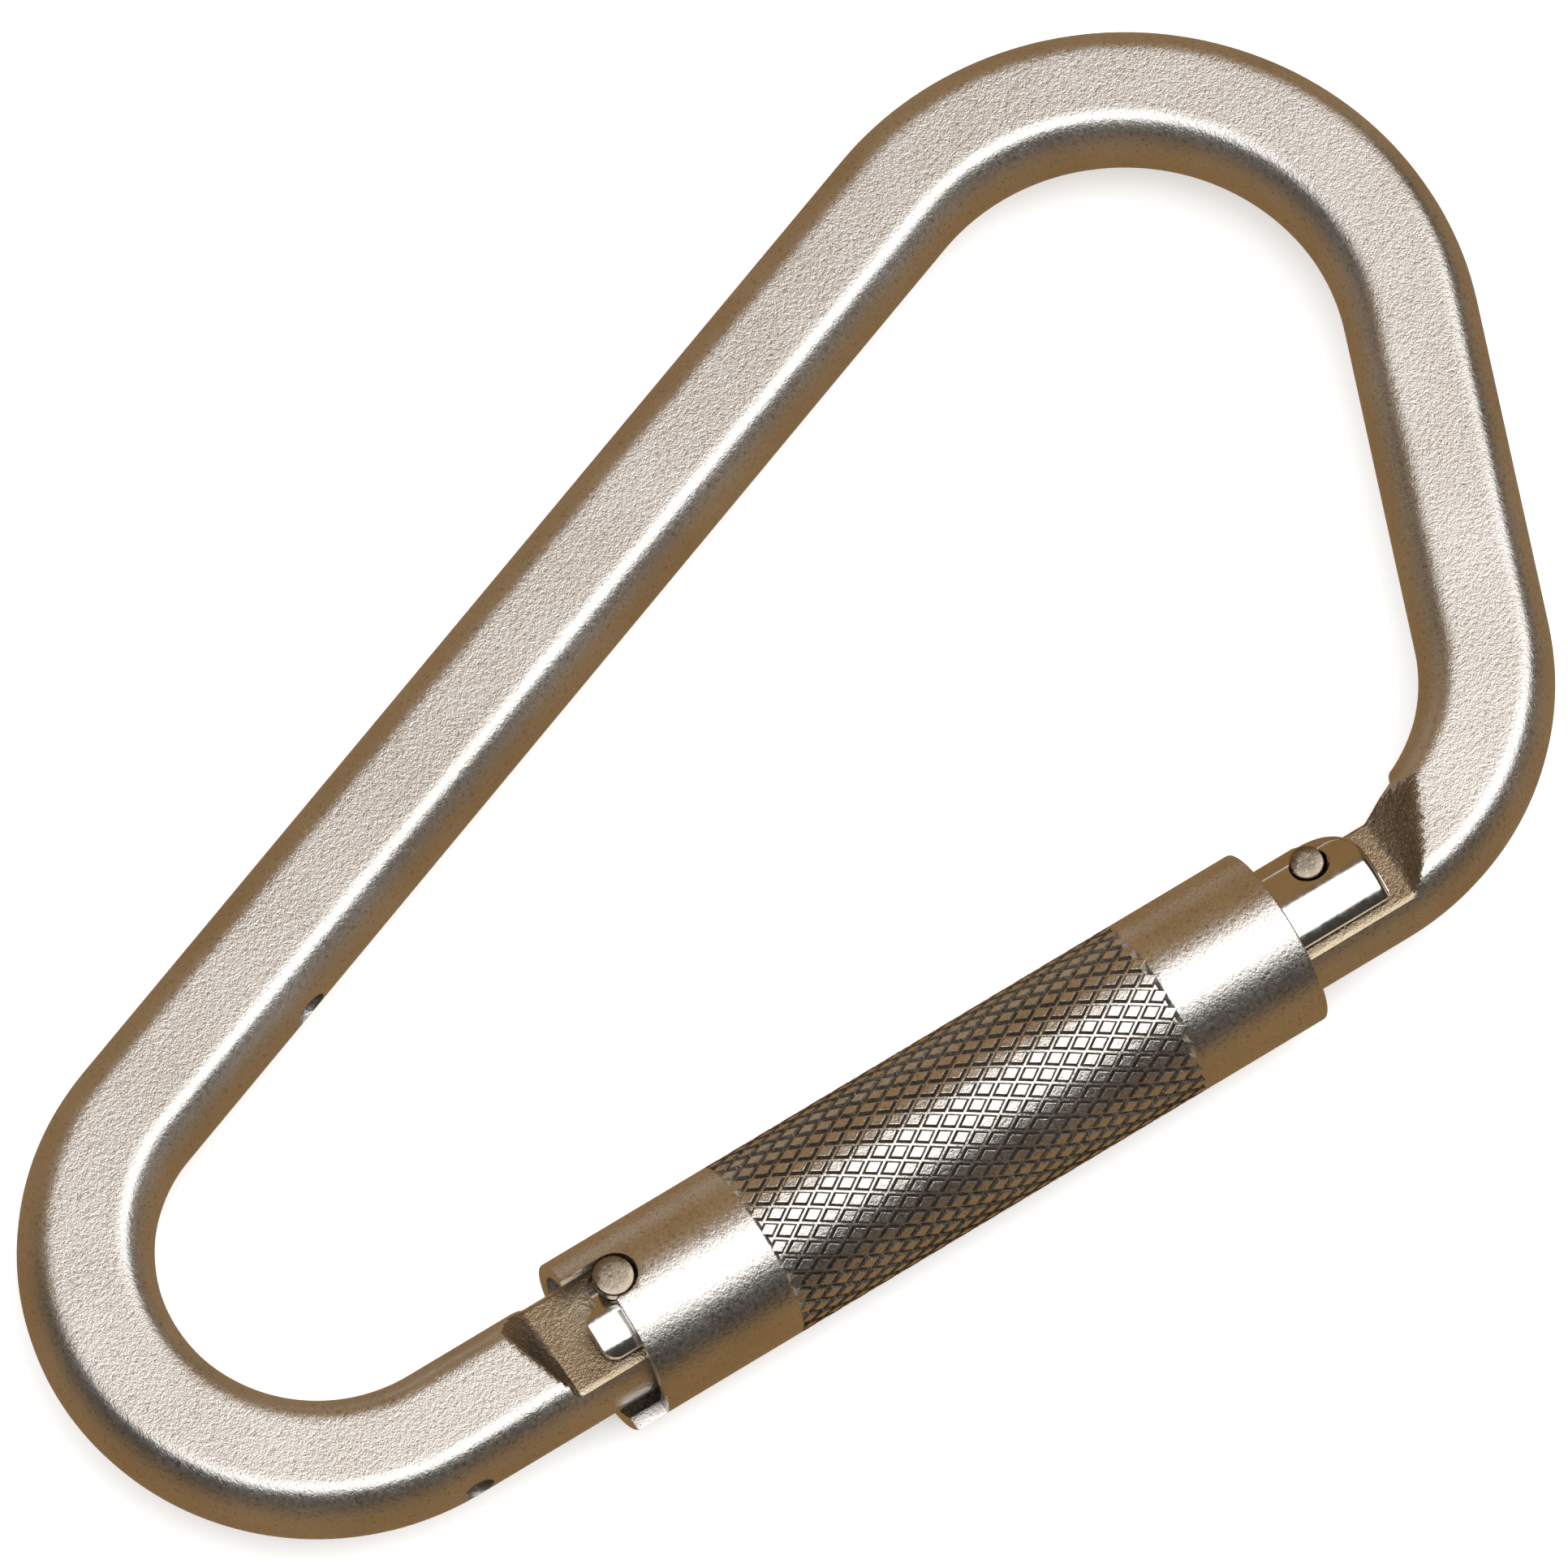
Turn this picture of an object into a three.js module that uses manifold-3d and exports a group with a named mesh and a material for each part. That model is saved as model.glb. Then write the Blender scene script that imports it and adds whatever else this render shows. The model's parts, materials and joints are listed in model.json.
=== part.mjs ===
// A large auto-locking steel carabiner: a forged C-shaped frame, a gate that swings on a
// hinge pin, and a spring-loaded knurled sleeve that slides along the gate.
//
// Millimetres and degrees. +Y runs up the spine towards the wide end, +X towards the gate,
// +Z out of the front face. The origin is the middle of the whole carabiner's box.
import * as THREE from 'three';
import { mergeVertices } from 'three/addons/utils/BufferGeometryUtils.js';
import Module from 'manifold-3d';

const wasm = await Module();
wasm.setup();

// ---- Driving dimensions ----

// The bar that the frame is forged from.
const barDiameter = 16.5;
const flatThickness = 13.4;

// The frame's outline, as the centre line of the bar.
const spineLength = 148.8;
const lowBendRadius = 27.9;
const topBendRadius = 35.3;
const noseBendRadius = 30;
const crossbarTurn = 131.4; // from the spine's direction, over the wide end
const gateLean = 20; // between the gate and the spine

// Where the gate's pins sit on the gate line.
const hingeFromBend = 26; // along the gate line, from the end of the low bend
const hingeInset = 2.9; // towards the inner side
const latchReach = 98.6; // from the hinge pin towards the nose
const latchInset = 3.8;

// The tangs at the two ends of the bar.
const tangThickness = 11.5;
const noseTangInset = 5.2; // centre line to the tang's inner edge
const noseTangTip = 94.8; // from the hinge pin
const hingeTangRadius = 4.3; // round end about the hinge pin
// Each shoulder's ramp starts on a square line and is longest on the inner side.
const noseShoulder = 107.8;
const noseRampInner = 7.8;
const noseRampOuter = 0.4;
const hingeShoulder = 10.4;
const hingeRampInner = 3.6;
const hingeRampOuter = 0.4;
const edgeRamp = 6.6; // how soon the tang's inner edge runs out into the round bar

// The gate: a U-channel, open on the outer side.
const gateWidth = 16.2;
const gateWall = 1.8;
const gateBase = 2;
const armDrop = 5; // the arms' edge, past the gate line
const armSweep = 9.4; // the arms curve in like an oval of this half-width
const gateHeel = 5.6; // past the hinge pin
const gateNose = 105.1;
const gateNoseRound = 6;
const gateCornerRound = 1.5;
const waistStep = 0.2; // the waist lies this much below the gate's ends
const waistDiameter = gateWidth - 2 * waistStep;
const waistStart = 4.6;
const waistEnd = 85.6;
const bridgeLength = 8.4; // solid stretch between the waist and the nose slot

// The sleeve, with room for its spring between it and the gate's waist.
const springRoom = 1.8;
const sleeveWall = 1.7;
const sleeveBore = waistDiameter + 2 * springRoom;
const sleeveDiameter = sleeveBore + 2 * sleeveWall;
const sleeveEnd = 92;
const sleeveLug = 5.6; // full length, past the hinge pin
const sleeveStep = 1.5; // cut back part, past the hinge pin
const sleeveStepBack = 3.5; // the cut stops this far behind the middle plane
const pocketWidth = 6;
const pocketDepth = 2.9; // closed end, from the hinge pin towards the nose
const seatStart = 6.2;
const seatLength = 1.4;
const seatPlay = 0.55;
const seatBore = waistDiameter + 2 * seatPlay;
const sleeveChamfer = 0.5;

// Pins.
const hingePinDiameter = 4.4;
const hingeNeckDiameter = 3.4;
const hingeNeckLength = 1;
const hingeHeadDiameter = 5.1;
const hingeHeadHeight = 1.9;
const hingeHeadSunk = 1; // below the sleeve's round
const hingeHeadTop = sleeveDiameter / 2 - hingeHeadSunk;
const hingeTailSunk = 0.4; // below the gate's back
const hingePinTail = gateWidth / 2 - hingeTailSunk;
const latchPinDiameter = 3.4;
const latchPinProud = 0.15; // above the round of the gate
const latchPinTop = Math.sqrt((gateWidth / 2) ** 2 - latchInset ** 2) + latchPinProud;
const countersinkDiameter = 5.2;
const countersinkDepth = 1.7;
const pinChamfer = 0.3;

// Springs and their rings.
const ringThickness = 1.1;
const springWire = 1;
const springTurns = 13;
const gateSpringWire = 1;
const gateSpringTurns = 3;
const gateSpringPitch = 1.1;
const gateSpringReach = 13;

// The holes for a captive eye pin.
const eyeHoleDiameter = 3.8;
const eyeHoleDepthInSpine = 6;
const eyeHoleUpSpine = 23.7;

// Room between pieces that meet, and how far a cutter runs past what it cuts.
const gap = 0.3;
const past = 4;

const armSlot = gateWidth - 2 * gateWall;
const ringBore = waistDiameter + 2 * gap;
const ringDiameter = sleeveBore - 2 * gap;
const barRadius = barDiameter / 2;
const flat = flatThickness / 2;
const tang = tangThickness / 2;

const barFacets = 8;
const roundFacets = 36;
const bendStep = 7.5;

const rad = THREE.MathUtils.degToRad;

// ---- Solids ----

function asSolid(geometry) {
  const bare = geometry.index ? geometry.toNonIndexed() : geometry.clone();
  bare.deleteAttribute('normal');
  bare.deleteAttribute('uv');
  const merged = mergeVertices(bare, 1e-4);
  return new wasm.Manifold(new wasm.Mesh({
    numProp: 3,
    vertProperties: new Float32Array(merged.attributes.position.array),
    triVerts: new Uint32Array(merged.index.array),
  }));
}

function asGeometry(solid) {
  const mesh = solid.getMesh();
  const geometry = new THREE.BufferGeometry();
  geometry.setAttribute('position', new THREE.BufferAttribute(new Float32Array(mesh.vertProperties), 3));
  geometry.setIndex(new THREE.BufferAttribute(new Uint32Array(mesh.triVerts), 1));
  return geometry;
}

function cut(body, ...tools) {
  return tools.reduce((solid, tool) => solid.subtract(tool), body);
}

function join(first, ...others) {
  return others.reduce((solid, other) => solid.add(other), first);
}

// A box given by its low and high corners.
function block(low, high) {
  const size = high.map((value, axis) => value - low[axis]);
  const geometry = new THREE.BoxGeometry(...size);
  geometry.translate(...low.map((value, axis) => value + size[axis] / 2));
  return asSolid(geometry);
}

// A flat outline in X and Y, given a thickness along Z.
function plate(shape, bottom, top, facets = 12) {
  const geometry = new THREE.ExtrudeGeometry(shape, {
    depth: top - bottom, bevelEnabled: false, curveSegments: facets,
  });
  geometry.translate(0, 0, bottom);
  return asSolid(geometry);
}

// A round piece along Z at (x, y), from pairs of radius and height.
function turnedUpright(x, y, profile, facets = roundFacets) {
  const geometry = new THREE.LatheGeometry(profile.map(([r, z]) => new THREE.Vector2(r, z)), facets);
  geometry.rotateX(Math.PI / 2);
  geometry.translate(x, y, 0);
  return asSolid(geometry);
}

// A round piece along the gate line, from pairs of radius and distance.
function turnedAlongGate(profile, facets = roundFacets) {
  return asSolid(new THREE.LatheGeometry(profile.map(([r, y]) => new THREE.Vector2(r, y)), facets));
}

function uprightCylinder(x, y, radius, bottom, top) {
  return turnedUpright(x, y, [[0, bottom], [radius, bottom], [radius, top], [0, top]]);
}

function ringAlongGate(inner, outer, start, end) {
  return turnedAlongGate([[inner, start], [outer, start], [outer, end], [inner, end], [inner, start]]);
}

// A path through chosen stations, with one ring of the section at each.
class StationPath extends THREE.Curve {
  constructor(stations) {
    super();
    this.stations = stations;
  }

  stationAt(u) {
    return this.stations[Math.round(u * (this.stations.length - 1))];
  }

  getPointAt(u) {
    return this.stationAt(u).point.clone();
  }

  getTangentAt(u) {
    return this.stationAt(u).heading.clone();
  }
}

// ---- The frame's centre line ----

const heading = (turn) => new THREE.Vector2(Math.sin(rad(turn)), Math.cos(rad(turn)));
const outward = (turn) => new THREE.Vector2(-Math.cos(rad(turn)), Math.sin(rad(turn)));
const onArc = (centre, radius, turn) => centre.clone().addScaledVector(outward(turn), radius);

const gateTurn = 180 + gateLean;
const lowCentre = new THREE.Vector2(lowBendRadius, 0);
const topCentre = new THREE.Vector2(topBendRadius, spineLength);
const bendEnd = onArc(lowCentre, lowBendRadius, gateTurn);

// The nose bend touches the crossbar and the gate line, both from inside.
function noseBendCentre() {
  const crossOut = outward(crossbarTurn);
  const gateOut = outward(gateTurn);
  const crossReach = onArc(topCentre, topBendRadius, crossbarTurn).dot(crossOut) - noseBendRadius;
  const gateReach = bendEnd.dot(gateOut) - noseBendRadius;
  const det = crossOut.x * gateOut.y - crossOut.y * gateOut.x;
  return new THREE.Vector2(
    (crossReach * gateOut.y - crossOut.y * gateReach) / det,
    (crossOut.x * gateReach - crossReach * gateOut.x) / det,
  );
}

const noseCentre = noseBendCentre();

// The gate line's own frame: +Y towards the nose, +X to the outer side, the hinge pin at
// y = 0 and x = -hingeInset.
const gateOrigin = bendEnd.clone().addScaledVector(heading(gateTurn), -hingeFromBend);
const gatePlace = new THREE.Matrix4()
  .makeRotationZ(-rad(gateLean))
  .setPosition(gateOrigin.x, gateOrigin.y, 0);

const onGateLine = (distance) => gateOrigin.clone().addScaledVector(heading(gateTurn), -distance);

const hingeX = -hingeInset;
const latchX = -latchInset;

function frameStations() {
  const stations = [];
  const add = (point, turn) => {
    const way = heading(turn);
    stations.push({
      point: new THREE.Vector3(point.x, point.y, 0),
      heading: new THREE.Vector3(way.x, way.y, 0),
    });
  };
  // From the hinge tang round the low bend, up the spine, over the top and down the nose.
  const bend = (centre, radius, from, to) => {
    const steps = Math.ceil(Math.abs(to - from) / bendStep);
    for (let i = 0; i <= steps; i += 1) {
      const turn = from + ((to - from) * i) / steps;
      add(onArc(centre, radius, turn), turn);
    }
  };
  add(onGateLine(hingeTangRadius), gateTurn - 360);
  bend(lowCentre, lowBendRadius, gateTurn - 360, 0);
  bend(topCentre, topBendRadius, 0, crossbarTurn);
  bend(noseCentre, noseBendRadius, crossbarTurn, gateTurn);
  add(onGateLine(noseTangTip), gateTurn);
  return stations;
}

// A round bar with a flat on its front and back. X of the section is the thickness.
function barSection() {
  const corner = Math.acos(flat / barRadius);
  const shape = new THREE.Shape();
  shape.absarc(0, 0, barRadius, corner, Math.PI - corner, false);
  shape.absarc(0, 0, barRadius, Math.PI + corner, 2 * Math.PI - corner, false);
  shape.closePath();
  return shape;
}

// ---- The frame ----

// Thins the bar's face back to the tang, up to a ramp. "way" is +1 at the nose.
function faceCutter(shoulder, rampInner, rampOuter, way, side) {
  const run = 40;
  const wide = Math.sqrt(barRadius ** 2 - tang ** 2) + gap;
  const high = flat + 1;
  const lift = (high - tang) / (flat - tang);
  const corners = [[-wide, rampInner], [wide, rampOuter]].flatMap(([x, ramp]) => [
    [x, way * (shoulder - run), tang],
    [x, way * shoulder, tang],
    [x, way * (shoulder + ramp * lift), high],
    [x, way * (shoulder - run), high],
  ]);
  const cutter = wasm.Manifold.hull(corners);
  return (side > 0 ? cutter : cutter.mirror([0, 0, 1])).transform(gatePlace.elements);
}

function noseEdgeCutter() {
  const deep = -barRadius - past;
  const shape = new THREE.Shape([
    new THREE.Vector2(-noseTangInset, noseTangTip - past),
    new THREE.Vector2(-noseTangInset, noseShoulder),
    new THREE.Vector2(-barRadius, noseShoulder + edgeRamp),
    new THREE.Vector2(deep, noseShoulder + edgeRamp + past),
    new THREE.Vector2(deep, noseTangTip - past),
  ]);
  return plate(shape, -barRadius - past, barRadius + past).transform(gatePlace.elements);
}

// Leaves the hinge tang with a straight inner edge and a round end about the pin.
function hingeEdgeCutter() {
  const deep = barRadius + past;
  const shape = new THREE.Shape();
  const foot = hingeTangRadius + hingeInset;
  shape.moveTo(-deep, -hingeShoulder - past);
  shape.lineTo(-barRadius, -hingeShoulder - barRadius + foot);
  shape.lineTo(-foot, -hingeShoulder);
  shape.lineTo(-foot, 0);
  shape.absarc(hingeX, 0, hingeTangRadius, Math.PI, Math.PI / 2, true);
  shape.lineTo(hingeX, hingeTangRadius + past);
  shape.lineTo(-deep, hingeTangRadius + past);
  shape.closePath();
  return plate(shape, -deep, deep).transform(gatePlace.elements);
}

// The latch pin's notch, open to the inner side.
function latchNotch() {
  const half = latchPinDiameter / 2 + gap;
  const deep = barRadius + past;
  const slot = block([-deep, latchReach - half, -deep], [latchX, latchReach + half, deep]);
  const bottom = uprightCylinder(latchX, latchReach, half, -deep, deep);
  return join(slot, bottom).transform(gatePlace.elements);
}

const gateSpringRadius = hingePinDiameter / 2 + gap + gateSpringWire / 2;
const springSlotRadius = gateSpringRadius + gateSpringWire / 2 + 3 * gap;
const springSlotHalf = (gateSpringTurns + 1) * gateSpringPitch / 2 + gap;

// The gate spring's slot, open at the tang's end and inner side.
function springSlot() {
  const disc = uprightCylinder(hingeX, 0, springSlotRadius, -springSlotHalf, springSlotHalf);
  const mouth = block(
    [hingeX - springSlotRadius - past, 0, -springSlotHalf],
    [hingeX + springSlotRadius, springSlotRadius + past, springSlotHalf],
  );
  const throat = block(
    [hingeX - springSlotRadius - past, -springSlotRadius, -springSlotHalf],
    [hingeX, 1, springSlotHalf],
  );
  return join(disc, mouth, throat).transform(gatePlace.elements);
}

function hingeHole() {
  const deep = barRadius + past;
  return uprightCylinder(hingeX, 0, hingePinDiameter / 2 + gap, -deep, deep)
    .transform(gatePlace.elements);
}

// One drilled line: through the bar beside the gate and into the spine's inner side.
function eyePinHoles() {
  const mouth = bendEnd.clone().addScaledVector(outward(gateTurn), barRadius);
  const spineMouth = new THREE.Vector2(barRadius, eyeHoleUpSpine);
  const way = spineMouth.clone().sub(mouth);
  const across = way.length();
  way.normalize();
  const drill = (from, to) => {
    const geometry = new THREE.CylinderGeometry(
      eyeHoleDiameter / 2, eyeHoleDiameter / 2, to - from, roundFacets / 2,
    );
    geometry.translate(0, (from + to) / 2, 0);
    geometry.rotateZ(Math.atan2(way.y, way.x) - Math.PI / 2);
    geometry.translate(mouth.x, mouth.y, 0);
    return asSolid(geometry);
  };
  return [drill(-past, barDiameter + past), drill(across - past, across + eyeHoleDepthInSpine)];
}

function makeFrame() {
  const stations = frameStations();
  const bar = asSolid(new THREE.ExtrudeGeometry(barSection(), {
    steps: stations.length - 1,
    bevelEnabled: false,
    extrudePath: new StationPath(stations),
    curveSegments: barFacets,
  }));
  const faces = [1, -1].flatMap((side) => [
    faceCutter(noseShoulder, noseRampInner, noseRampOuter, 1, side),
    faceCutter(hingeShoulder, hingeRampInner, hingeRampOuter, -1, side),
  ]);
  return cut(
    bar, ...faces, noseEdgeCutter(), hingeEdgeCutter(), latchNotch(), springSlot(), hingeHole(),
    ...eyePinHoles(),
  );
}

// ---- The gate ----

// The channel's section, in X and Z: a half-round base with arms that curve in.
function channelSection() {
  const half = gateWidth / 2;
  const edge = Math.acos(armDrop / armSweep);
  const shape = new THREE.Shape();
  shape.absellipse(0, 0, armSweep, half, -edge, -Math.PI / 2, true);
  shape.absarc(0, 0, half, -Math.PI / 2, -1.5 * Math.PI, true);
  shape.absellipse(0, 0, armSweep, half, Math.PI / 2, edge, true);
  shape.closePath();
  return shape;
}

// The gate seen from the front: round about the hinge pin, rounded at the nose.
function gateOutline() {
  const half = gateWidth / 2;
  const corner = gateCornerRound;
  const shape = new THREE.Shape();
  shape.moveTo(armDrop + past, -gateHeel + corner);
  shape.lineTo(armDrop, -gateHeel + corner);
  shape.absarc(armDrop - corner, -gateHeel + corner, corner, 0, -Math.PI / 2, true);
  shape.lineTo(hingeX, -gateHeel);
  shape.absarc(hingeX, 0, gateHeel, -Math.PI / 2, -Math.PI, true);
  shape.lineTo(-half - past, 0);
  shape.lineTo(-half - past, gateNose - gateNoseRound);
  shape.lineTo(-half, gateNose - gateNoseRound);
  shape.absarc(-half + gateNoseRound, gateNose - gateNoseRound, gateNoseRound, Math.PI, Math.PI / 2, true);
  shape.lineTo(armDrop - corner, gateNose);
  shape.absarc(armDrop - corner, gateNose - corner, corner, Math.PI / 2, 0, true);
  shape.lineTo(armDrop + past, gateNose - corner);
  shape.closePath();
  return shape;
}

function makeGate() {
  const half = gateWidth / 2;
  const channel = new THREE.ExtrudeGeometry(channelSection(), {
    depth: gateNose + gateHeel, bevelEnabled: false, curveSegments: 12,
  });
  channel.rotateX(-Math.PI / 2);
  channel.translate(0, -gateHeel, 0);
  const outline = plate(gateOutline(), -half - 1, half + 1);
  const slotFloor = -half + gateBase;
  const slot = (from, to) => block([slotFloor, from, -armSlot / 2], [armDrop + past, to, armSlot / 2]);
  const bridgeEnd = waistEnd + bridgeLength;
  const heelWindow = block(
    [-half - past, -gateHeel - past, -armSlot / 2],
    [armDrop + past, hingeTangRadius, armSlot / 2],
  );
  const waist = ringAlongGate(waistDiameter / 2, sleeveDiameter / 2, waistStart, waistEnd);
  const pinHole = (x, y, diameter) => uprightCylinder(x, y, diameter / 2 + gap, -half - 1, half + 1);
  const countersink = turnedUpright(latchX, latchReach, [
    [0, latchPinTop - countersinkDepth],
    [latchPinDiameter / 2 + gap, latchPinTop - countersinkDepth],
    [countersinkDiameter / 2, latchPinTop - gap],
    [countersinkDiameter / 2, half + 1],
    [0, half + 1],
  ]);
  return cut(
    asSolid(channel).intersect(outline),
    slot(hingeTangRadius - 1, waistEnd - gap),
    slot(bridgeEnd, gateNose + past),
    heelWindow,
    waist,
    pinHole(hingeX, 0, hingePinDiameter),
    pinHole(latchX, latchReach, latchPinDiameter),
    countersink,
    countersink.mirror([0, 0, 1]),
  );
}

// ---- Pins ----

function makeHingePin() {
  const neck = hingeNeckDiameter / 2;
  const shank = hingePinDiameter / 2;
  const head = hingeHeadDiameter / 2;
  const headStart = hingeHeadTop - hingeHeadHeight;
  const neckStart = headStart - hingeNeckLength;
  const chamfer = pinChamfer;
  return turnedUpright(hingeX, 0, [
    [0, -hingePinTail],
    [shank - chamfer, -hingePinTail],
    [shank, -hingePinTail + chamfer],
    [shank, neckStart],
    [neck, neckStart + chamfer],
    [neck, headStart],
    [head - chamfer, headStart],
    [head, headStart + chamfer],
    [head, hingeHeadTop - chamfer],
    [head - chamfer, hingeHeadTop],
    [0, hingeHeadTop],
  ]);
}

function makeLatchPin() {
  const top = latchPinTop;
  const shank = latchPinDiameter / 2;
  return turnedUpright(latchX, latchReach, [
    [0, -top], [shank - pinChamfer, -top], [shank, -top + pinChamfer],
    [shank, top - pinChamfer], [shank - pinChamfer, top], [0, top],
  ]);
}

// ---- Sleeve ----

function makeSleeve() {
  const outer = sleeveDiameter / 2;
  const bore = sleeveBore / 2;
  const seat = seatBore / 2;
  const chamfer = sleeveChamfer;
  const barrel = turnedAlongGate([
    [bore, -sleeveLug], [outer - chamfer, -sleeveLug], [outer, -sleeveLug + chamfer],
    [outer, sleeveEnd - chamfer], [outer - chamfer, sleeveEnd], [bore, sleeveEnd],
    [bore, seatStart + seatLength], [seat, seatStart + seatLength], [seat, seatStart],
    [bore, seatStart], [bore, -sleeveLug],
  ], 72);
  const pocketHalf = pocketWidth / 2;
  const pocketCentre = pocketDepth - pocketHalf;
  const lugEdge = hingeX - pocketHalf;
  const front = outer + past;
  const step = block(
    [lugEdge, -sleeveLug - past, -sleeveStepBack],
    [outer + past, -sleeveStep, front],
  );
  const pocket = join(
    block([lugEdge, -sleeveLug - past, 0], [hingeX + pocketHalf, pocketCentre, front]),
    uprightCylinder(hingeX, pocketCentre, pocketHalf, 0, front),
  );
  return cut(barrel, step, pocket);
}

// ---- Springs ----

class Helix extends THREE.Curve {
  constructor(radius, turns, length) {
    super();
    Object.assign(this, { radius, turns, length });
  }

  getPoint(t) {
    const angle = 2 * Math.PI * this.turns * t;
    return new THREE.Vector3(
      this.radius * Math.cos(angle), this.length * t, this.radius * Math.sin(angle),
    );
  }
}

function wireAlong(curve, wire, steps) {
  const sides = 6;
  const section = new THREE.Shape();
  section.absarc(0, 0, wire / 2, 0, 2 * Math.PI, false);
  return new THREE.ExtrudeGeometry(section, {
    steps, bevelEnabled: false, extrudePath: curve, curveSegments: sides / 2,
  });
}

const stopStart = waistEnd - gap - ringThickness;
const washerStart = seatStart + seatLength + gap;

function makeSleeveSpring() {
  const start = washerStart + ringThickness + gap + springWire / 2;
  const end = stopStart - gap - springWire / 2;
  const radius = (ringBore + ringDiameter) / 4;
  const coil = wireAlong(new Helix(radius, springTurns, end - start), springWire, springTurns * 12);
  coil.translate(0, start, 0);
  return asSolid(coil);
}

const makeRing = (start) => ringAlongGate(ringBore / 2, ringDiameter / 2, start, start + ringThickness);

// A torsion spring round the hinge pin, with one leg lying along the channel.
function makeGateSpring() {
  const height = gateSpringPitch * gateSpringTurns;
  const coil = [];
  const steps = gateSpringTurns * 12;
  for (let i = 0; i <= steps; i += 1) {
    const angle = Math.PI + (2 * Math.PI * gateSpringTurns * i) / steps;
    coil.push(new THREE.Vector3(
      hingeX + gateSpringRadius * Math.cos(angle),
      gateSpringRadius * Math.sin(angle),
      -height / 2 + (height * i) / steps,
    ));
  }
  const legX = -gateWidth / 2 + gateBase + gap + gateSpringWire / 2;
  coil.reverse();
  coil.push(new THREE.Vector3(legX, hingeTangRadius * 0.7, -height / 2));
  coil.push(new THREE.Vector3(legX, gateSpringReach * 0.6, -height / 2));
  coil.push(new THREE.Vector3(legX, gateSpringReach, -height / 2));
  return asSolid(wireAlong(new THREE.CatmullRomCurve3(coil), gateSpringWire, steps + 6));
}

// ---- Finishes ----

const finish = (color, roughness, metalness) => new THREE.MeshStandardMaterial({
  color, roughness, metalness,
});
const satinSteel = () => finish(0x9c8566, 0.42, 1);
const brightSteel = () => finish(0xb7a88c, 0.18, 1);
const springSteel = () => finish(0x8d8b86, 0.3, 1);

// ---- Assembly ----

function piece(name, solid, material) {
  const mesh = new THREE.Mesh(asGeometry(solid), material);
  mesh.name = name;
  return mesh;
}

const gateGroup = new THREE.Group();
gateGroup.position.set(gateOrigin.x, gateOrigin.y, 0);
gateGroup.rotation.z = -rad(gateLean);
gateGroup.add(
  piece('gate', makeGate(), brightSteel()),
  piece('hinge_pin', makeHingePin(), satinSteel()),
  piece('latch_pin', makeLatchPin(), brightSteel()),
  piece('gate_spring', makeGateSpring(), springSteel()),
  piece('sleeve', makeSleeve(), satinSteel()),
  piece('sleeve_spring', makeSleeveSpring(), springSteel()),
  piece('spring_stop', makeRing(stopStart), springSteel()),
  piece('spring_washer', makeRing(washerStart), springSteel()),
);

const carabiner = new THREE.Group();
carabiner.add(piece('frame', makeFrame(), satinSteel()), gateGroup);

// The bar's outline gives the middle: the spine to the nose bend, the low bend to the top.
const right = noseCentre.x + noseBendRadius + barRadius;
const top = topCentre.y + topBendRadius + barRadius;
const bottom = -lowBendRadius - barRadius;
carabiner.position.set(-(right - barRadius) / 2, -(top + bottom) / 2, 0);

export default carabiner;
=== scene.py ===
"""A large auto-locking steel carabiner: forged frame, channel gate and knurled sleeve.

Sizes are in millimetres until a mesh is made. The gate has its own frame: x to the outer
side of the gate line, s from the hinge pin towards the nose, z out of the front face.
"""
import json
import math

import bmesh
import bpy
import numpy as np
from mathutils import Matrix, Vector


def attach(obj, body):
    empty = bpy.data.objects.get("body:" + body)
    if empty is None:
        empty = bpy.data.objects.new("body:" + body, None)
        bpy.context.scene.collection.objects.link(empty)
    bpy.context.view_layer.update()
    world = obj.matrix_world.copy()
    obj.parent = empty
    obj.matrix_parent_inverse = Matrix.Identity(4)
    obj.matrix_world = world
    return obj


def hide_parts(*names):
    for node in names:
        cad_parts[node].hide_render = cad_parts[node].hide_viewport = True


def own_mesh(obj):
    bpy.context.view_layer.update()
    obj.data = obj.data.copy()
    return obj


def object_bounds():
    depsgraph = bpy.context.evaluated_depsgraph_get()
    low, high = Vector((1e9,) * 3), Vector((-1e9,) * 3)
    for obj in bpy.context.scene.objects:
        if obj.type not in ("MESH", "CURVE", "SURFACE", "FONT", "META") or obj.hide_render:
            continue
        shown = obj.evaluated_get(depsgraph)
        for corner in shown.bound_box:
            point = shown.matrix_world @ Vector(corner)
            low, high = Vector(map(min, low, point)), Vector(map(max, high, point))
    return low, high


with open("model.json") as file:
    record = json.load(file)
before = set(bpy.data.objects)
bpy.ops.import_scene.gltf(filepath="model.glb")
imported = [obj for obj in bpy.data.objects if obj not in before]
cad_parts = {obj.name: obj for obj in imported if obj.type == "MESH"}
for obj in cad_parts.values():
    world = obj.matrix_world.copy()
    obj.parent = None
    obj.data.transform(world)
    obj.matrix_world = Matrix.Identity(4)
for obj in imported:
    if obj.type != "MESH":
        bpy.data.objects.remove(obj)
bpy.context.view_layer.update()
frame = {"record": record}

MM = 0.001
WELD = 1e-7  # metres; points closer than this are one

# The bar and the outline of its centre line.
BAR_R = 8.25
FLAT = 6.7
SPINE = 148.8
LOW_R = 27.9
TOP_R = 35.3
NOSE_R = 30.0
CROSS_TURN = 131.4
GATE_LEAN = 20.0
GATE_TURN = 180 + GATE_LEAN
HINGE_FROM_BEND = 26.0
EDGE_SOFT = 0.75

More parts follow.
